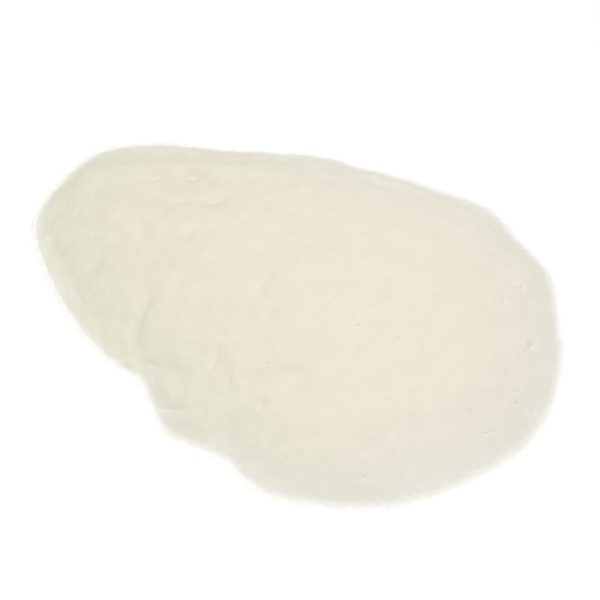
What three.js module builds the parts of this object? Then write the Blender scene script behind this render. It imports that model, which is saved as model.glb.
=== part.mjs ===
// A spilled heap of fine citric acid powder, lying loose on a flat surface.
// Millimetres, +Z up. The origin is in the middle of the flat underside, +X runs
// along the heap's length and +Y towards its far side.

import * as THREE from "three";
import { ImprovedNoise } from "three/addons/math/ImprovedNoise.js";

// Driving dimensions

const RING_COUNT = 40; // rings of the surface mesh, from the middle to the edge
const TOE_HEIGHT = 0.4; // the heap's edge is one grain thick
const RIM_SLOPE = 0.72; // rise over run where the powder climbs from its edge
const BANK_REACH = 17; // the climb from the edge flattens out over this distance
const LEAN = 0.006; // how much taller the heap grows for each mm towards LEAN_DIRECTION
const LEAN_DIRECTION = new THREE.Vector2(0.8, -0.6); // the main mound lies to the near right

// Places that the edge of the heap passes through, joined by one smooth curve
const FOOTPRINT = [
  [-52, 16.5],
  [-43, -2.5],
  [-32.5, -15], // the notch between the left lobe and the main mound
  [-28.5, -17.5],
  [-24, -27.5],
  [-22, -30.5],
  [-11.5, -36],
  [-7, -41],
  [-2, -44],
  [16, -46],
  [26, -43.5],
  [35, -39],
  [43.5, -32.5],
  [49, -24],
  [52, -13.5],
  [52.5, -2.5],
  [52, 8.5],
  [47, 17.5],
  [42, 26],
  [34.5, 30.5],
  [21.5, 36.5],
  [15.5, 38.5],
  [7, 42],
  [-5.5, 43.5],
  [-13, 44],
  [-27.5, 46],
  [-39.5, 44.5],
  [-44.5, 41],
  [-51, 30.5],
  [-53, 24], // tip of the low left lobe
];

// Swells rise from the heap and hollows sink into it. Each is a soft oval:
// where its middle is, its half length and half width, the way its length
// points in degrees from +X, and how far it rises.
const RELIEF = [
  // The ridge along the far edge, steep on its far side
  { at: [-21, 34], half: [22, 3.2], turn: -2, rise: 1.3 },
  { at: [-42, 32], half: [8, 3.4], turn: 48, rise: 0.6 },
  { at: [21.5, 28.8], half: [8, 1.8], turn: -27, rise: -0.5 },
  // The thin skirt along the left lobe's outer edge
  { at: [-48.8, 14], half: [11, 2.8], turn: -66, rise: -0.7 },
  { at: [-41.5, 0.5], half: [9, 2.8], turn: -57, rise: -0.7 },
  // The gully where the main mound has slid against the left lobe
  { at: [-28.4, -4.8], half: [4.2, 1.3], turn: 62, rise: -0.85 },
  { at: [-29.6, -11], half: [3.6, 1.2], turn: 90, rise: -0.6 },
  { at: [-24.8, -8.2], half: [5.5, 2.3], turn: 75, rise: 0.7 },
  { at: [-32.6, -7.6], half: [5, 2.4], turn: 62, rise: -0.35 },
  // The small lobe that has slumped off the mound beside the notch
  { at: [-24, -17.4], half: [3.6, 1.3], turn: -20, rise: -0.5 },
  { at: [-20.4, -22.6], half: [3.4, 1.4], turn: 96, rise: -0.4 },
  { at: [-23.2, -21.6], half: [2.2, 2.6], turn: 20, rise: 0.35 },
  { at: [-21.6, -26.4], half: [2.8, 1.2], turn: -20, rise: -0.7 },
  { at: [-18.6, -29.2], half: [4, 2], turn: -35, rise: 0.5 },
  // Hollows and swells on the far part of the left lobe
  { at: [-19.6, 31.4], half: [2.3, 1.5], turn: 10, rise: -0.8 },
  { at: [-27.8, 31.4], half: [3, 1.4], turn: 15, rise: -0.5 },
  { at: [-14.2, 28.4], half: [2, 1.6], turn: 0, rise: 0.4 },
  { at: [-15.2, 22.8], half: [2.4, 1.6], turn: 12, rise: -0.7 },
  { at: [-16, 18.4], half: [2.8, 1.4], turn: 18, rise: 0.3 },
  { at: [-22.4, 22.6], half: [2.4, 1.2], turn: 5, rise: -0.45 },
  { at: [-20.1, 13.6], half: [1.7, 1.4], turn: 0, rise: -0.35 },
  { at: [-36.4, 19], half: [1.8, 1.5], turn: 0, rise: 0.35 },
  { at: [-38.4, 7.8], half: [2.8, 1.4], turn: 50, rise: -0.4 },
  // Small slips on the front and right flanks
  { at: [-4.4, -2.2], half: [3.6, 1.2], turn: 70, rise: -0.3 },
  { at: [0.3, -22.6], half: [3.6, 1.2], turn: -2, rise: -0.4 },
  { at: [-5.6, -24], half: [2, 1.3], turn: 20, rise: -0.4 },
  { at: [-13.2, -17.6], half: [2.6, 1.4], turn: 80, rise: -0.4 },
  { at: [-11, -23.4], half: [2, 1.4], turn: 80, rise: -0.35 },
  { at: [25.6, -17.8], half: [6, 1.2], turn: -74, rise: -0.25 },
  { at: [46.3, -13.7], half: [1.3, 1.3], turn: 0, rise: -0.5 },
];

// The unevenness that is too small to place by hand, in layers: the distance
// from one lump to the next, and the height of a lump
const LUMPS = [
  { spacing: 17, height: 0.5 },
  { spacing: 7, height: 0.24 },
  { spacing: 4, height: 0.14 },
];
const EDGE_CLEARANCE = 3.5; // relief and lumps fade out over this distance from the edge
const EDGE_WOBBLE = 0.3; // how far the edge strays from its smooth curve
const EDGE_WOBBLE_SPACING = 4;

const POWDER_COLOUR = 0xece7d7;

const EDGE_POINT_COUNT = 6 * RING_COUNT;
const noise = new ImprovedNoise();

// The edge of the heap as evenly spaced points, wobbled and centred on the origin
function edgeOfHeap() {
  const places = FOOTPRINT.map(([x, y]) => new THREE.Vector3(x, y, 0));
  const curve = new THREE.CatmullRomCurve3(places, true, "centripetal");
  const smooth = curve.getSpacedPoints(EDGE_POINT_COUNT).slice(0, EDGE_POINT_COUNT);
  const points = smooth.map((place) => {
    const stray = noise.noise(place.x / EDGE_WOBBLE_SPACING, place.y / EDGE_WOBBLE_SPACING, 0);
    const reach = place.length();
    const scale = (reach + EDGE_WOBBLE * stray) / reach;
    return new THREE.Vector2(place.x * scale, place.y * scale);
  });
  const middle = new THREE.Box2().setFromPoints(points).getCenter(new THREE.Vector2());
  return points.map((point) => point.sub(middle));
}

const edge = edgeOfHeap();

// How far a place is from the edge, smoothed so that it has no creases in the
// middle of the heap. Each straight piece of the edge pulls on the place with
// a strength of one over its distance to the fourth power, and the sum over
// the whole edge is turned back into a distance.
function softDistanceToEdge(place) {
  const nearest = 0.02; // keeps a place in line with a piece of the edge finite
  let pull = 0;
  for (let i = 0; i < edge.length; i += 1) {
    const start = edge[i];
    const along = edge[(i + 1) % edge.length].clone().sub(start);
    const length = along.length();
    along.divideScalar(length);
    const offset = start.clone().sub(place);
    const from = offset.dot(along);
    const away = Math.max(Math.abs(offset.cross(along)), nearest);
    pull += pullUpTo(from + length, away) - pullUpTo(from, away);
  }
  return Math.cbrt(Math.PI / 2 / pull);
}

// The integral of 1 / (away² + s²)² from 0 to s
function pullUpTo(s, away) {
  const square = away * away;
  return s / (2 * square * (square + s * s)) + Math.atan(s / away) / (2 * square * away);
}

function reliefAt(place) {
  let rise = 0;
  for (const { at, half, turn, rise: peak } of RELIEF) {
    const local = place.clone().sub(new THREE.Vector2(...at));
    local.rotateAround(new THREE.Vector2(), -THREE.MathUtils.degToRad(turn));
    rise += peak * Math.exp(-((local.x / half[0]) ** 2) - (local.y / half[1]) ** 2);
  }
  return rise;
}

function lumpsAt(place) {
  let height = 0;
  LUMPS.forEach((layer, depth) => {
    height += layer.height * noise.noise(place.x / layer.spacing, place.y / layer.spacing, depth);
  });
  return height;
}

// The height of the powder at a place inside the edge
function heightAt(place) {
  const distance = softDistanceToEdge(place);
  const steepness = 1 + LEAN * place.dot(LEAN_DIRECTION);
  const detail = THREE.MathUtils.smoothstep(distance, 0, EDGE_CLEARANCE);
  const dome = RIM_SLOPE * steepness * BANK_REACH * (1 - Math.exp(-distance / BANK_REACH));
  return TOE_HEIGHT + dome + detail * (reliefAt(place) + lumpsAt(place));
}

// Ring k has 6k places, spread along a copy of the edge shrunk to k / RING_COUNT
function placesOnRing(ring) {
  const places = [];
  const share = ring / RING_COUNT;
  for (let i = 0; i < 6 * ring; i += 1) {
    const position = (i / (6 * ring)) * edge.length;
    const before = Math.floor(position);
    const start = edge[before];
    const end = edge[(before + 1) % edge.length];
    places.push(start.clone().lerp(end, position - before).multiplyScalar(share));
  }
  return places;
}

// One closed body: the domed top, the thin toe around it and the flat underside
function heapGeometry() {
  const positions = [0, 0, heightAt(new THREE.Vector2(0, 0))];
  const ringStarts = [0];
  for (let ring = 1; ring <= RING_COUNT; ring += 1) {
    ringStarts.push(positions.length / 3);
    for (const place of placesOnRing(ring)) {
      const height = ring === RING_COUNT ? TOE_HEIGHT : heightAt(place);
      positions.push(place.x, place.y, height);
    }
  }
  const triangles = [];

  // The top: each sixth of a ring has one more step on its outside than on its inside
  for (let ring = 1; ring <= RING_COUNT; ring += 1) {
    const inner = (i) => (ring === 1 ? 0 : ringStarts[ring - 1] + (i % (6 * (ring - 1))));
    const outer = (i) => ringStarts[ring] + (i % (6 * ring));
    for (let sixth = 0; sixth < 6; sixth += 1) {
      for (let step = 0; step < ring; step += 1) {
        const near = sixth * (ring - 1) + step;
        const far = sixth * ring + step;
        triangles.push(inner(near), outer(far), outer(far + 1));
        if (step < ring - 1) {
          triangles.push(inner(near), outer(far + 1), inner(near + 1));
        }
      }
    }
  }

  // The toe and the underside
  const toeStart = ringStarts[RING_COUNT];
  const baseStart = positions.length / 3;
  for (const point of edge) {
    positions.push(point.x, point.y, 0);
  }
  const baseMiddle = positions.length / 3;
  positions.push(0, 0, 0);
  for (let i = 0; i < edge.length; i += 1) {
    const next = (i + 1) % edge.length;
    triangles.push(toeStart + i, baseStart + i, toeStart + next);
    triangles.push(toeStart + next, baseStart + i, baseStart + next);
    triangles.push(baseMiddle, baseStart + next, baseStart + i);
  }

  const geometry = new THREE.BufferGeometry();
  geometry.setAttribute("position", new THREE.Float32BufferAttribute(positions, 3));
  geometry.setIndex(triangles);
  geometry.computeVertexNormals();
  return geometry;
}

const powder = new THREE.MeshStandardMaterial({
  color: POWDER_COLOUR,
  roughness: 0.95,
  metalness: 0,
});

const heap = new THREE.Mesh(heapGeometry(), powder);
heap.name = "citric_acid_heap";

const group = new THREE.Group();
group.add(heap);

export default group;
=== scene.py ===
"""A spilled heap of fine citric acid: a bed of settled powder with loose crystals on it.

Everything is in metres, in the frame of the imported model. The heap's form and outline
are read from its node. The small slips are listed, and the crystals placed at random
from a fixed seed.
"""

import math

import bmesh
import bpy
import numpy as np
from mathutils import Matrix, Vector, noise
from mathutils.bvhtree import BVHTree


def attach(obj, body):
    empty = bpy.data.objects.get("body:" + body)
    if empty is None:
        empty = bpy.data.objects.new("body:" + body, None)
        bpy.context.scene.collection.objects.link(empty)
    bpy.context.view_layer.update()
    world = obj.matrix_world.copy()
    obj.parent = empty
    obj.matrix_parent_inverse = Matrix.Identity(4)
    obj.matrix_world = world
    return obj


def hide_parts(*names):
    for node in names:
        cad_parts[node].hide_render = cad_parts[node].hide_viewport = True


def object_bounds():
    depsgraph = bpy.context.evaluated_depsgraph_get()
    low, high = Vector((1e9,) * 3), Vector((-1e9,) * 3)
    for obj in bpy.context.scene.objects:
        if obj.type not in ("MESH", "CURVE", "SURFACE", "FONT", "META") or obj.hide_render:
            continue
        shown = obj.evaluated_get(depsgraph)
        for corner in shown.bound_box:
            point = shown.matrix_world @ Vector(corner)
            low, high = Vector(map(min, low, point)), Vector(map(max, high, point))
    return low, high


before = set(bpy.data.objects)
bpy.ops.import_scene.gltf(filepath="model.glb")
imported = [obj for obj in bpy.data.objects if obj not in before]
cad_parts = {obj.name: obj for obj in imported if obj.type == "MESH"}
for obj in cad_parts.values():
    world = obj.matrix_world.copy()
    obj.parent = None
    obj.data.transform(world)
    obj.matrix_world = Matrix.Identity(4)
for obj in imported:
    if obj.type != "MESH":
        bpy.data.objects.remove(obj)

cad_low, cad_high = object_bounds()

MM = 0.001
NODE = "citric_acid_heap"
BODY = "root"
SEED = 7

# The camera, as the photograph was taken
CAMERA_ELEVATION = math.radians(50)
CAMERA_DISTANCE = 283 * MM
CAMERA_TARGET = Vector((2.27, 1.75, 0)) * MM
CAMERA_LENS = 85  # mm, on a sensor 36 mm wide
CAMERA_RANGE = (10 * MM, 20)  # the nearest and the farthest that it sees

# Square lights that point at the heap: name, place, side, power in watts and colour
SOFTBOXES = (
    ("softbox", (-0.002, -0.048, 0.55), 0.4, 2.3, (1, 0.982, 0.955)),
    ("cool_fill", (0.17, 0.36, 0.22), 0.25, 0.09, (0.85, 0.94, 1)),
)
SKY_COLOUR = (0.97, 1, 0.985)
SKY_STRENGTH = 0.42
BACKDROP_STRENGTH = 1.1  # a little over white, behind the edge of the ground
GROUND_HALF_SIDE = 3
GROUND_COLOUR = (0.93, 0.93, 0.93)
GROUND_GLOW = 0.06  # lifts the ground to the blank white of the photograph

# The core: a bed of settled crystals, as one mesh of rings
CORE_RINGS = 180
CORE_DROP = 0.1 * MM  # it lies this far under the heap's surface, which its crystals reach
DUST_REACH = 1.0 * MM  # it thins out to dust, which runs this far past the heap's edge
DUST_HEIGHT = 0.2 * MM  # the dust thins out below this height
RIM_SLOPE = 0.72  # rise over run of the heap at its edge
RIM_HEIGHT_READ = 0.6 * MM  # nearer to its edge than this, the heap's height follows that slope
EDGE_RAGGEDNESS = 0.2 * MM
EDGE_RAGGEDNESS_SPACING = 1.3 * MM
GRAIN_SHIFT = 0.07 * MM  # how far the bed's points lie off their rings
GRAIN_SHIFT_MOST = 2 * GRAIN_SHIFT
GRAIN_SHIFT_FADE = 0.02  # none at the edge, and all of it from this share of the way in
GRAIN_RISE = 0.01 * MM  # how far they lie above or below its surface
UNDERSIDE_TOLERANCE = 0.01 * MM  # how far above the ground the underside's points may lie
MERGE_DISTANCE = 0.001 * MM
ROUNDINGS = 2  # subdivisions of the heap's facets

# Settled relief finer than the solid's: the distance from lump to lump, and a lump's height
FINE_RELIEF = (
    (2.8 * MM, 0.10 * MM),
    (1.2 * MM, 0.06 * MM),
)
FULL_RELIEF_DEPTH = 1.0 * MM  # where the powder is thinner than this, its relief is fainter
LEFT_LOBE = -22 * MM  # the powder is lumpier past here, towards -X
LEFT_LOBE_BLEND = 8 * MM  # to each side of that
LOBE_LUMPINESS = 1.6

# Layers of the same smooth noise, far enough apart to have nothing in common
NOISE_LAYER_GAP = 7.3
EDGE_LAYER = 0.4
FRINGE_LAYER = 1.1

# Cracks, pits, slips and low swells that the solid leaves out, in mm: where the middle is,
# the half length and half width, the way it runs in degrees from +X, and how far it rises
SLIPS = (
    ((-29.1, -8.3), (2.8, 1.3), 76, -0.25),  # the bottom of the gully
    ((-30.6, -15.4), (1.6, 1.2), 30, 0.35),  # the powder piled in the notch
    ((-25.8, -16.0), (2.2, 0.5), -22, -0.25),  # the scarp over the slumped lobe
    ((-21.4, -18.3), (1.8, 0.7), -40, -0.2),
    ((-21.8, -26.1), (2.4, 0.45), -18, -0.5),  # the crack below it
    ((-20.3, 31.2), (1.9, 1.5), 15, -1.0),  # hollows under the far ridge
    ((-28.4, 31.2), (2.2, 1.3), 15, -0.6),
    ((-15.0, 22.6), (2.4, 1.4), 18, -0.6),
    ((-22.3, 22.9), (1.9, 1.3), 5, -0.35),
    ((-15.2, 27.2), (1.2, 1.5), 0, 0.3),  # and a lump between them
    ((-20.1, 13.0), (1.0, 0.8), 0, -0.2),  # pits on the left lobe
    ((-38.3, 7.2), (1.6, 0.7), 40, -0.25),
    ((-46.3, 27.2), (1.4, 0.8), 60, -0.2),
    ((-3.4, -0.2), (2.3, 0.5), 41, -0.35),  # a crack on the brow of the mound
    ((-4.8, -4.0), (2.0, 0.5), 104, -0.2),
    ((0.9, -23.4), (3.2, 1.1), -3, -0.45),  # the slip on the near flank, and its gentle foot
    ((0.6, -25.8), (4.2, 2.0), -5, -0.3),
    ((-3.8, -25.0), (2.8, 1.2), 42, -0.45),
    ((-4.6, -28.2), (1.1, 0.7), 0, -0.35),
    ((-13.6, -17.4), (2.0, 0.6), 80, -0.35),  # two more slips, nearer the slumped lobe
    ((-11.0, -23.0), (1.4, 0.6), 80, -0.3),
    ((24.9, -15.2), (2.9, 0.35), 94, -0.16),  # the crack on the right
    ((26.4, -20.5), (3.0, 0.35), -66, -0.16),
    ((46.3, -13.4), (0.7, 0.6), 30, -0.5),  # pits round the right bank
    ((43.9, 0.9), (0.6, 0.45), 0, -0.3),
    ((46.0, 0.7), (0.5, 0.4), 60, -0.3),
    ((41.7, -4.8), (0.55, 0.45), 90, -0.3),
    ((36.9, 18.3), (0.55, 0.45), 20, -0.25),
    ((42.8, -24.0), (0.5, 0.45), 0, -0.3),
    ((42.6, -26.5), (0.5, 0.4), 40, -0.25),
    ((45.6, -26.8), (0.6, 0.5), 0, -0.25),
    ((37.3, -32.7), (0.6, 0.45), 10, -0.25),
    ((13.9, -42.3), (0.8, 0.5), 10, -0.25),
    ((34.0, 27.8), (15.0, 2.6), -36, -0.4),  # the gentle bank at the far right
    ((-48.0, 14.6), (10.0, 2.6), -66, 0.3),  # the skirt of the left lobe
    ((-41.0, 1.0), (8.0, 2.6), -57, 0.3),
)

# Loose crystals. Each kind has a size, and each crystal differs from it
SIZE_SPREAD = 0.2  # of its size, as a natural logarithm
SIZE_LIMITS = (0.55, 1.8)
STRETCH = (0.8, 1.2)  # of its length, width and height, each by itself
UNEVENNESS = 0.06  # of the places of its corners, as a share of its size
UNEVENNESS_MOST = 1.2 * UNEVENNESS
TILT = 0.07  # how far it leans out of lying flat
LARGE = 0.3 * MM  # kinds larger than this lie only where the powder is deep
DEEP = 1.2 * MM

# Crystals strewn over the ground round the heap: how far out they lie, by the side that
# they are on in degrees from +X
FRINGE_WIDTHS = {
    0: 0.6 * MM,
    45: 0.9 * MM,
    90: 0.35 * MM,
    135: 0.6 * MM,
    180: 0.6 * MM,
    225: 0.5 * MM,
    270: 0.6 * MM,
    315: 1.1 * MM,
}
FRINGE_MOST = 6  # none lies further out than this many widths
FRINGE_START = 0.5 * MM  # out from the heap's edge
FRINGE_PATCHINESS = 0.5
FRINGE_PATCH = 3 * MM
FRINGE_STEPS = 40  # of the curve that it follows, to each point of the outline
STRAY_COUNT = 10000
STRAY_SIZE = 0.13 * MM
STRAY_HEIGHT = 0.4  # against its size
STRAY_LIFT = 0.2

# The powder's colour by height, as a share of the whole height, with painted light and shade
# in it: pale at the edge, partly the thin layer over the white ground and partly painted light
# against the steep rim's shade; greyer and darker on the low banks, partly the thin powder's own
# colour and partly painted shade of their slopes; and warmer where it is deep, partly the deep
# powder's own colour and partly painted warm light from above. The left lobe is greener and
# darker: painted shade.
MOUND_TONES_AND_PAINTED_LIGHT = (
    (0.0, (0.95, 0.95, 0.945)),
    (0.01, (0.915, 0.912, 0.895)),
    (0.02, (0.895, 0.888, 0.858)),
    (0.04, (0.877, 0.859, 0.82)),
    (0.08, (0.834, 0.811, 0.76)),
    (0.17, (0.81, 0.782, 0.714)),
    (0.35, (0.802, 0.768, 0.685)),
    (0.6, (0.797, 0.752, 0.664)),
    (0.9, (0.79, 0.743, 0.643)),
)
LOBE_TONES_AND_PAINTED_LIGHT = (
    (0.0, (0.95, 0.95, 0.94)),
    (0.01, (0.92, 0.92, 0.892)),
    (0.02, (0.895, 0.89, 0.842)),
    (0.04, (0.86, 0.842, 0.776)),
    (0.08, (0.783, 0.769, 0.667)),
    (0.17, (0.765, 0.74, 0.623)),
    (0.35, (0.761, 0.737, 0.618)),
    (0.6, (0.77, 0.737, 0.615)),
    (0.9, (0.783, 0.737, 0.611)),
)
LOBE_REACH = (-35 * MM, 25 * MM)  # along X, from all of the lobe's tone and painted shade to none of it
STRAY_TONE = (0.80, 0.79, 0.75)
CRYSTAL_PAINTED_LIGHTENING = 1.02  # painted light: the crystals are this much lighter than the bed that they lie in, to offset the shade on their tilted facets

# The darkest and lightest patches of the powder, against its tone
MOUND_PATCHES = (0.984, 1.011)
LOBE_PATCHES = (0.966, 1.018)
PATCH = 4 * MM
PATCH_DETAIL = 5.0
PATCH_NOISE = (0.3, 0.7)  # the values of the noise at the darkest and the lightest

# Bumps in the bed's material
GRAIN = 0.2 * MM
GRAIN_DEPTH = 0.03 * MM


# ---------------------------------------------------------------- the form of the heap


def closed_curve(points, count):
    """count evenly numbered points on a smooth closed curve through points (Catmull-Rom)."""
    position = np.arange(count) * len(points) / count
    before = position.astype(int)
    t = (position - before)[:, None]
    p0, p1, p2, p3 = (points[(before + k) % len(points)] for k in (-1, 0, 1, 2))
    return 0.5 * (
        2 * p1
        + (p2 - p0) * t
        + (2 * p0 - 5 * p1 + 4 * p2 - p3) * t**2
        + (3 * p1 - p0 - 3 * p2 + p3) * t**3
    )


def outline_of(node):
    """The edge of the node's flat underside, as points in order round its middle."""
    flat = [v.co for v in node.data.vertices if v.co.z < UNDERSIDE_TOLERANCE]
    # The underside has one point in its middle, which isn't on the edge
    edge = {(round(co.x, 7), round(co.y, 7)) for co in flat if co.xy.length > MM}
    return np.array(sorted(edge, key=lambda p: math.atan2(p[1], p[0])))


def smooth_surface_of(node):
    """The node's surface, rounded by subdivision, as a tree for casting rays at."""
    mesh = node.data.copy()
    merged = bmesh.new()
    merged.from_mesh(mesh)
    bmesh.ops.remove_doubles(merged, verts=merged.verts, dist=MERGE_DISTANCE)
    merged.to_mesh(mesh)
    merged.free()
    rounded = bpy.data.objects.new("rounded_heap", mesh)
    bpy.context.scene.collection.objects.link(rounded)
    rounding = rounded.modifiers.new("rounding", "SUBSURF")
    rounding.levels = ROUNDINGS
    tree = BVHTree.FromObject(rounded, bpy.context.evaluated_depsgraph_get())
    bpy.data.objects.remove(rounded)
    bpy.data.meshes.remove(mesh)
    return tree


def height_over(tree, x, y):
    """The height of the surface over a place, or 0 past its edge."""
    well_above = 2 * cad_high.z
    hit = tree.ray_cast(Vector((x, y, well_above)), Vector((0, 0, -1)))[0]
    return hit.z if hit else 0.0


def ramp(values, start, end):
    """0 up to start, 1 from end on, and smooth between."""
    t = np.clip((values - start) / (end - start), 0, 1)
    return t * t * (3 - 2 * t)


def noise_at(places, spacing, layer):
    """A smooth random value from -1 to 1 at each place, the same on each run."""
    depth = NOISE_LAYER_GAP * layer
    return np.array([noise.noise(Vector((x / spacing, y / spacing, depth))) for x, y in places])


def fine_relief(places):
    """The height of the settled powder's fine lumps and slips at each place."""
    x, y = places.T
    layers = enumerate(FINE_RELIEF)
    lumps = sum(rise * noise_at(places, spacing, layer) for layer, (spacing, rise) in layers)
    on_lobe = ramp(-x, -LEFT_LOBE - LEFT_LOBE_BLEND, -LEFT_LOBE + LEFT_LOBE_BLEND)
    height = lumps * (1 + (LOBE_LUMPINESS - 1) * on_lobe)
    for (middle_x, middle_y), (half_length, half_width), turn, rise in SLIPS:
        away_x = x / MM - middle_x
        away_y = y / MM - middle_y
        cosine, sine = math.cos(math.radians(turn)), math.sin(math.radians(turn))
        along = (cosine * away_x + sine * away_y) / half_length
        across = (cosine * away_y - sine * away_x) / half_width
        height += rise * MM * np.exp(-(along**2) - across**2)
    return height


def ring_triangles(rings):
    """The triangles of a disc of rings round one middle point, and where each ring starts.

    Ring k has 6k points, and they are counted from the middle outwards.
    """
    starts = np.concatenate(([0, 1], 1 + 3 * np.arange(1, rings) * np.arange(2, rings + 1)))
    triangles = []
    for ring in range(1, rings + 1):
        sixth, step = np.divmod(np.arange(6 * ring), ring)
        inner_count = max(6 * (ring - 1), 1)
        outer = starts[ring] + sixth * ring + step
        outer_next = starts[ring] + (sixth * ring + step + 1) % (6 * ring)
        inner = starts[ring - 1] + (sixth * (ring - 1) + step) % inner_count
        inner_next = starts[ring - 1] + (sixth * (ring - 1) + step + 1) % inner_count
        triangles.append(np.stack((inner, outer, outer_next), axis=1))
        between = step < ring - 1
        triangles.append(np.stack((inner, outer_next, inner_next), axis=1)[between])
    return np.concatenate(triangles), starts


def core_places(rng, outline):
    """Where the core's points lie as seen from above, and how far out the heap's edge is there."""
    ring_numbers = np.arange(CORE_RINGS + 1)
    rings = [closed_curve(outline, 6 * k) * (k / CORE_RINGS) for k in ring_numbers[1:]]
    places = np.concatenate([np.zeros((1, 2)), *rings])
    ring_of = np.repeat(ring_numbers, np.maximum(6 * ring_numbers, 1))
    share = np.maximum(ring_of, 1) / CORE_RINGS
    heap_reach = np.maximum(np.linalg.norm(places, axis=1), MM) / share
    places *= (1 + DUST_REACH / heap_reach)[:, None]
    shifts = rng.normal(0, GRAIN_SHIFT, places.shape).clip(-GRAIN_SHIFT_MOST, GRAIN_SHIFT_MOST)
    places += ramp(1 - share, 0, GRAIN_SHIFT_FADE)[:, None] * shifts
    return places, heap_reach


def core_heights(rng, tree, places, heap_reach):
    """The core's height at each place: just under the heap, and thinning out past its edge."""
    # The heap's surface, carried on down its rim's slope past its edge
    from_middle = np.maximum(np.linalg.norm(places, axis=1), MM)
    too_near = np.maximum(RIM_HEIGHT_READ - (heap_reach - from_middle), 0)
    read_at = places * (1 - too_near / from_middle)[:, None]
    heap_heights = np.array([height_over(tree, x, y) for x, y in read_at])
    surface = heap_heights - RIM_SLOPE * too_near - CORE_DROP

    ragged = EDGE_RAGGEDNESS * RIM_SLOPE * noise_at(places, EDGE_RAGGEDNESS_SPACING, EDGE_LAYER)
    surface += np.where(too_near > 0, ragged, 0)
    grains = rng.normal(0, GRAIN_RISE, len(places))
    surface += ramp(surface, 0, FULL_RELIEF_DEPTH) * (fine_relief(places) + grains)

    # A smooth bend where it meets the ground, so that it ends as a thin skin
    return DUST_HEIGHT * np.logaddexp(0, surface / DUST_HEIGHT)


def core_mesh(rng, tree, outline):
    """The core's vertices and triangles, those of its top first, and how many are the top's."""
    triangles, starts = ring_triangles(CORE_RINGS)
    places, heap_reach = core_places(rng, outline)
    top = np.column_stack((places, core_heights(rng, tree, places, heap_reach)))

    edge_count = 6 * CORE_RINGS
    edge_start = starts[CORE_RINGS]
    underside = np.zeros((edge_count + 1, 3))
    underside[1:, :2] = places[edge_start:]
    middle = len(top)
    under = middle + 1 + np.arange(edge_count)
    over = edge_start + np.arange(edge_count)
    under_next, over_next = np.roll(under, -1), np.roll(over, -1)
    closing = (
        np.stack((over, under, over_next), axis=1),
        np.stack((over_next, under, under_next), axis=1),
        np.stack((np.full(edge_count, middle), under_next, under), axis=1),
    )
    vertices = np.concatenate((top, underside))
    return vertices, np.concatenate((triangles, *closing)), len(triangles)


def mesh_object(name, vertices, triangles):
    """A new piece from arrays."""
    mesh = bpy.data.meshes.new(name)
    mesh.vertices.add(len(vertices))
    mesh.vertices.foreach_set("co", np.ascontiguousarray(vertices, np.float32).ravel())
    mesh.loops.add(3 * len(triangles))
    mesh.loops.foreach_set("vertex_index", np.ascontiguousarray(triangles, np.int32).ravel())
    mesh.polygons.add(len(triangles))
    mesh.polygons.foreach_set("loop_start", np.arange(0, 3 * len(triangles), 3, dtype=np.int32))
    mesh.polygons.foreach_set("use_smooth", np.zeros(len(triangles), bool))
    mesh.update(calc_edges=True)
    piece = bpy.data.objects.new(name, mesh)
    bpy.context.scene.collection.objects.link(piece)
    return piece


# ---------------------------------------------------------------- the loose crystals

# Each shape is the points and triangles of a crystal about 1 across, lying flat. It is
# scaled, made uneven and turned for each copy.


def pyramid(sides, height):
    """A chipped crystal on its broken side: a flat base with sides corners, and a point over it."""
    angles = 2 * math.pi * np.arange(sides) / sides
    base = np.column_stack((0.5 * np.cos(angles), 0.5 * np.sin(angles), np.full(sides, -height / 2)))
    points = np.concatenate((base, [(0, 0, height / 2)]))
    faces = [(i, (i + 1) % sides, sides) for i in range(sides)]
    faces += [(0, i + 1, i) for i in range(1, sides - 1)]
    return points, np.array(faces)


def block(half_length, half_width, half_height):
    """A rectangular crystal."""
    corners = ((-1, -1), (1, -1), (1, 1), (-1, 1))
    points = [(half_length * x, half_width * y, half_height * z) for z in (-1, 1) for x, y in corners]
    faces = [(0, 2, 1), (0, 3, 2), (4, 5, 6), (4, 6, 7)]
    for i in range(4):
        following = (i + 1) % 4
        faces += [(i, following, 4 + following), (i, 4 + following, 4 + i)]
    return np.array(points), np.array(faces)


def prism(sides, half_width, half_length, tip):
    """A prism lying along X with a pointed end at each side."""
    angles = 2 * math.pi * np.arange(sides) / sides
    rim = np.column_stack((np.zeros(sides), half_width * np.cos(angles), half_width * np.sin(angles)))
    shoulder = np.array((half_length - tip, 0, 0))
    ends = [(-half_length, 0, 0), (half_length, 0, 0)]
    points = np.concatenate((rim - shoulder, rim + shoulder, ends))
    faces = []
    for i in range(sides):
        following = (i + 1) % sides
        faces += [(i, following, sides + following), (i, sides + following, sides + i)]
        faces += [(following, i, 2 * sides), (sides + i, sides + following, 2 * sides + 1)]
    return points, np.array(faces)


def crumb():
    """A round lump of caked powder."""
    ball = bmesh.new()
    bmesh.ops.create_icosphere(ball, subdivisions=2, radius=0.5)
    ball.verts.index_update()
    points = np.array([tuple(v.co) for v in ball.verts])
    faces = np.array([[v.index for v in face.verts] for face in ball.faces])
    ball.free()
    return points, faces


def settled_turns(rng, normals):
    """Rotations, as matrices, that lay crystals flat, each with a lean and a spin of its own."""
    upward = normals + rng.normal(0, TILT, normals.shape)
    upward /= np.linalg.norm(upward, axis=1, keepdims=True)
    along = np.cross(upward, rng.normal(size=normals.shape))
    along /= np.linalg.norm(along, axis=1, keepdims=True)
    return np.stack((along, np.cross(upward, along), upward), axis=2)


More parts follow.
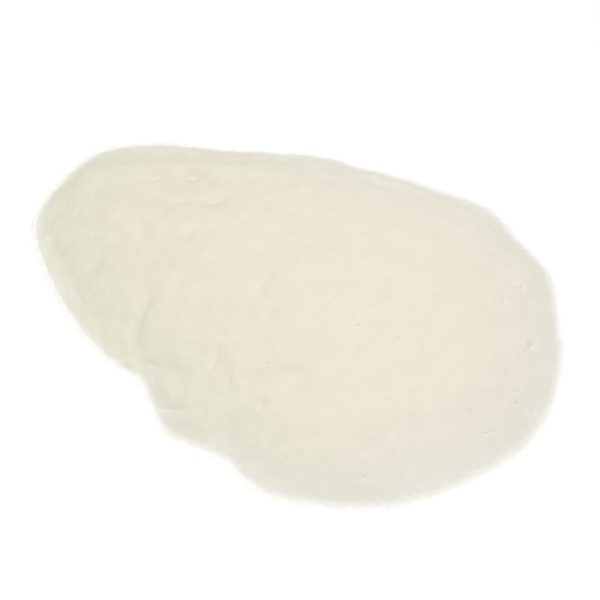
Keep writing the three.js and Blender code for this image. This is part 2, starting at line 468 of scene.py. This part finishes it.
def crystals(rng, shape, size, places, normals, lift):
    """Joins one crystal at each place: size across, its middle lift times that above the place."""
    points, faces = shape
    count = len(places)
    sizes = size * np.exp(rng.normal(0, SIZE_SPREAD, count)).clip(*SIZE_LIMITS)
    shifts = UNEVENNESS * rng.normal(size=(count, *points.shape))
    forms = points + shifts.clip(-UNEVENNESS_MOST, UNEVENNESS_MOST)
    forms *= rng.uniform(*STRETCH, (count, 1, 3))
    turned = np.einsum("nij,nkj->nki", settled_turns(rng, normals), forms) * sizes[:, None, None]
    vertices = turned + (places + normals * (sizes * lift)[:, None])[:, None, :]
    # None reaches under the ground
    lowest = vertices[:, :, 2].min(axis=1)
    vertices[:, :, 2] += np.maximum(-lowest, 0)[:, None]
    triangles = faces + len(points) * np.arange(count)[:, None, None]
    return vertices.reshape(-1, 3), triangles.reshape(-1, 3)


def map_from_above(piece):
    """Gives the piece a UV map seen from above, so that crystals side by side share a place on it."""
    mesh = piece.data
    layer = mesh.uv_layers.new(name="OFBake")
    corners = np.empty(len(mesh.loops), np.int32)
    mesh.loops.foreach_get("vertex_index", corners)
    places = np.empty(3 * len(mesh.vertices), np.float32)
    mesh.vertices.foreach_get("co", places)
    places = places.reshape(-1, 3)[:, :2]
    low, high = places.min(axis=0), places.max(axis=0)
    layer.uv.foreach_set("vector", ((places - low) / (high - low))[corners].ravel())


def spread_over(rng, vertices, triangles, count):
    """count random places on the triangles, even by area, and the way that each faces."""
    a, b, c = (vertices[triangles[:, k]] for k in range(3))
    across = np.cross(b - a, c - a)
    area = np.linalg.norm(across, axis=1)
    chosen = rng.choice(len(triangles), count, p=area / area.sum())
    u, v = rng.random((2, count))
    over = u + v > 1
    u[over], v[over] = 1 - u[over], 1 - v[over]
    places = a[chosen] + u[:, None] * (b - a)[chosen] + v[:, None] * (c - a)[chosen]
    return places, across[chosen] / area[chosen][:, None]


def strewn_round(rng, outline, count):
    """count random places on the ground about the heap's edge, and the way that they face, up."""
    curve = closed_curve(outline, FRINGE_STEPS * len(outline))
    chosen = rng.integers(len(curve), size=count)
    start, following = curve[chosen], curve[(chosen + 1) % len(curve)]
    along = following - start
    outward = np.column_stack((along[:, 1], -along[:, 0]))
    outward /= np.linalg.norm(outward, axis=1, keepdims=True)
    facing = np.degrees(np.arctan2(outward[:, 1], outward[:, 0]))
    width = np.interp(facing, list(FRINGE_WIDTHS), list(FRINGE_WIDTHS.values()), period=360)
    width *= 1 + FRINGE_PATCHINESS * noise_at(start, FRINGE_PATCH, FRINGE_LAYER)
    # They thin out away from the heap
    away = FRINGE_START + width * rng.exponential(1, count).clip(0, FRINGE_MOST)
    places = start + rng.random((count, 1)) * along + outward * away[:, None]
    return np.column_stack((places, np.zeros(count))), np.tile((0.0, 0.0, 1.0), (count, 1))


# ---------------------------------------------------------------- materials


class Surface:
    """A node material that is put together around its Principled shader."""

    def __init__(self, name, **uniform):
        self.material = bpy.data.materials.new(name)
        self.material.use_nodes = True
        self.nodes, self.links = self.material.node_tree.nodes, self.material.node_tree.links
        self.shader = self.nodes["Principled BSDF"]
        for socket, value in uniform.items():
            self.shader.inputs[socket.replace("_", " ")].default_value = value

    def add(self, kind, settings=(), **sockets):
        """A new node. Each socket takes a value, or another node's output."""
        node = self.nodes.new(kind)
        for setting, value in dict(settings).items():
            setattr(node, setting, value)
        for socket, value in sockets.items():
            self.feed(node.inputs[socket.replace("_", " ")], value)
        return node

    def feed(self, socket, value):
        """Gives the socket a value, or links another node's output to it."""
        if isinstance(value, bpy.types.NodeSocket):
            self.links.new(value, socket)
        else:
            socket.default_value = value


def tone_ramp(surface, share, tones):
    """A colour that follows the height's share through the tones."""
    node = surface.add("ShaderNodeValToRGB", Fac=share)
    stops = node.color_ramp.elements
    for position, tone in tones[1:-1]:
        stops.new(position)
    for stop, (position, tone) in zip(stops, tones):
        stop.position, stop.color = position, (*tone, 1)
    return node.outputs["Color"]


def tone_and_painted_light_by_height(surface, height, on_mound):
    """The powder's colour at a height, with its painted light and shade, from the left lobe's at
    on_mound 0 to the mound's at 1.
    """
    share = surface.add("ShaderNodeMapRange", Value=height, From_Max=cad_high.z).outputs["Result"]
    blended = surface.add("ShaderNodeMix", {"data_type": "RGBA"}, Factor=on_mound)
    # The sockets for colours go by number, because those for other data have the same names
    lobe_side, mound_side, result = blended.inputs[6], blended.inputs[7], blended.outputs[2]
    surface.feed(lobe_side, tone_ramp(surface, share, LOBE_TONES_AND_PAINTED_LIGHT))
    surface.feed(mound_side, tone_ramp(surface, share, MOUND_TONES_AND_PAINTED_LIGHT))
    return result


def powder_surface(name, brightness=1, tone=None, gloss=0.3, **uniform):
    """Off-white powder with faint patches, of one tone or else toned by height with painted light
    and shade. brightness lightens it all, which for the crystals is painted light.
    """
    surface = Surface(name, Specular_IOR_Level=gloss, **uniform)
    place = surface.add("ShaderNodeTexCoord").outputs["Object"]
    axes = surface.add("ShaderNodeSeparateXYZ", Vector=place).outputs
    start, end = LOBE_REACH
    reach = surface.add("ShaderNodeMapRange", Value=axes["X"], From_Min=start, From_Max=end)
    on_mound = reach.outputs["Result"]

    patches = surface.add("ShaderNodeTexNoise", Vector=place, Scale=1 / PATCH, Detail=PATCH_DETAIL)
    darkest, lightest = PATCH_NOISE
    shade = surface.add("ShaderNodeMapRange", Value=patches.outputs["Fac"])
    surface.feed(shade.inputs["From Min"], darkest)
    surface.feed(shade.inputs["From Max"], lightest)
    for socket, lobe_shade, mound_shade in zip(("To Min", "To Max"), LOBE_PATCHES, MOUND_PATCHES):
        limit = surface.add("ShaderNodeMapRange", Value=on_mound)
        surface.feed(limit.inputs["To Min"], lobe_shade * brightness)
        surface.feed(limit.inputs["To Max"], mound_shade * brightness)
        surface.feed(shade.inputs[socket], limit.outputs["Result"])

    # toned by height, the colour carries painted light and shade
    colour = tone or tone_and_painted_light_by_height(surface, axes["Z"], on_mound)
    shaded = surface.add("ShaderNodeVectorMath", {"operation": "SCALE"}, Scale=shade.outputs["Result"])
    surface.feed(shaded.inputs[0], colour)
    surface.feed(surface.shader.inputs["Base Color"], shaded.outputs["Vector"])
    return surface


def add_grain(surface, across, depth):
    """Bumps as small as crystals, for the bed that they lie in."""
    place = surface.add("ShaderNodeTexCoord").outputs["Object"]
    grains = surface.add("ShaderNodeTexVoronoi", Vector=place, Scale=1 / across)
    bump = surface.add("ShaderNodeBump", {"invert": True}, Strength=1.0, Distance=depth)
    surface.feed(bump.inputs["Height"], grains.outputs["Distance"])
    surface.feed(surface.shader.inputs["Normal"], bump.outputs["Normal"])


# ---------------------------------------------------------------- the studio


def make_camera():
    """The camera at the photograph's viewing angle."""
    data = bpy.data.cameras.new("camera")
    data.lens = CAMERA_LENS
    data.clip_start, data.clip_end = CAMERA_RANGE
    camera = bpy.data.objects.new("camera", data)
    back = Vector((0, -math.cos(CAMERA_ELEVATION), math.sin(CAMERA_ELEVATION)))
    camera.location = CAMERA_TARGET + CAMERA_DISTANCE * back
    camera.rotation_euler = (math.pi / 2 - CAMERA_ELEVATION, 0, 0)
    bpy.context.scene.collection.objects.link(camera)
    bpy.context.scene.camera = camera


def make_softbox(name, location, side, power, colour):
    """A square area light that points at the heap."""
    data = bpy.data.lights.new(name, "AREA")
    data.shape, data.size, data.energy, data.color = "SQUARE", side, power, colour
    light = bpy.data.objects.new(name, data)
    light.location = location
    light.rotation_mode = "QUATERNION"
    light.rotation_quaternion = (-Vector(location)).to_track_quat("-Z", "Y")
    bpy.context.scene.collection.objects.link(light)


def make_ground():
    """The plain white ground that the heap lies on."""
    corners = np.array([(-1, -1, 0), (1, -1, 0), (1, 1, 0), (-1, 1, 0)]) * GROUND_HALF_SIDE
    ground = mesh_object("ground", corners, np.array([(0, 1, 2), (0, 2, 3)]))
    white = Surface(
        "white_ground",
        Base_Color=(*GROUND_COLOUR, 1),
        Roughness=1.0,
        Specular_IOR_Level=0.0,
        Emission_Color=(1, 1, 1, 1),
        Emission_Strength=GROUND_GLOW,
    )
    ground.data.materials.append(white.material)


def make_sky():
    """An even sky that lights softly and that the camera sees as blank white."""
    world = bpy.data.worlds.new("studio")
    bpy.context.scene.world = world
    world.use_nodes = True
    nodes, links = world.node_tree.nodes, world.node_tree.links
    lighting = nodes["Background"]
    lighting.inputs["Color"].default_value = (*SKY_COLOUR, 1)
    lighting.inputs["Strength"].default_value = SKY_STRENGTH
    backdrop = nodes.new("ShaderNodeBackground")
    backdrop.inputs["Color"].default_value = (1, 1, 1, 1)
    backdrop.inputs["Strength"].default_value = BACKDROP_STRENGTH
    seen = nodes.new("ShaderNodeLightPath")
    either = nodes.new("ShaderNodeMixShader")
    links.new(seen.outputs["Is Camera Ray"], either.inputs["Fac"])
    links.new(lighting.outputs["Background"], either.inputs[1])
    links.new(backdrop.outputs["Background"], either.inputs[2])
    links.new(either.outputs["Shader"], nodes["World Output"].inputs["Surface"])


# ---------------------------------------------------------------- the heap

rng = np.random.default_rng(SEED)
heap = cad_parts[NODE]
outline = outline_of(heap)
core_vertices, core_triangles, top_count = core_mesh(rng, smooth_surface_of(heap), outline)
core = mesh_object("powder_core", core_vertices, core_triangles)
bed = powder_surface("settled_powder", Roughness=0.9)
add_grain(bed, GRAIN, GRAIN_DEPTH)
core.data.materials.append(bed.material)
pieces = [core]

# painted light: the crystals' colour is lightened against the shade on their tilted facets
matt = powder_surface("frosted_crystal", CRYSTAL_PAINTED_LIGHTENING, Roughness=0.6)
clear = powder_surface("clear_crystal", CRYSTAL_PAINTED_LIGHTENING, gloss=0.7, Roughness=0.15)
stray = powder_surface("stray_crystal", tone=STRAY_TONE, Roughness=0.6)

# Name, shape, size across, how many, how far their middles lie above the core against
# their size, and material
ON_THE_HEAP = (
    ("three_sided_crystals", pyramid(3, 0.2), 0.26 * MM, 48000, 0.0, matt),
    ("four_sided_crystals", pyramid(4, 0.2), 0.25 * MM, 33000, 0.0, matt),
    ("five_sided_crystals", pyramid(5, 0.2), 0.24 * MM, 20000, 0.0, matt),
    ("blocky_crystals", block(0.5, 0.4, 0.2), 0.2 * MM, 3500, -0.08, matt),
    ("long_crystals", prism(4, 0.22, 0.72, 0.3), 0.2 * MM, 2000, -0.02, matt),
    ("six_sided_crystals", prism(6, 0.36, 0.5, 0.22), 0.22 * MM, 1000, -0.14, matt),
    ("clear_crystals", prism(6, 0.3, 0.5, 0.2), 0.38 * MM, 250, -0.1, clear),
    ("crumbs", crumb(), 0.6 * MM, 60, -0.3, matt),
)
top_triangles = core_triangles[:top_count]
deep_triangles = top_triangles[core_vertices[top_triangles, 2].min(axis=1) > DEEP]
for name, shape, size, count, lift, surface in ON_THE_HEAP:
    lies_on = deep_triangles if size > LARGE else top_triangles
    places, normals = spread_over(rng, core_vertices, lies_on, count)
    piece = mesh_object(name, *crystals(rng, shape, size, places, normals, lift))
    piece.data.materials.append(surface.material)
    pieces.append(piece)

ground_places, upward = strewn_round(rng, outline, STRAY_COUNT)
stray_shape = pyramid(4, STRAY_HEIGHT)
strays = crystals(rng, stray_shape, STRAY_SIZE, ground_places, upward, STRAY_LIFT)
stray_piece = mesh_object("stray_crystals", *strays)
stray_piece.data.materials.append(stray.material)
pieces.append(stray_piece)

for piece in pieces:
    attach(piece, BODY)
    if piece is not core:
        map_from_above(piece)
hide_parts(NODE)

make_camera()
make_ground()
for softbox in SOFTBOXES:
    make_softbox(*softbox)
make_sky()
bpy.context.scene.view_settings.view_transform = "Standard"
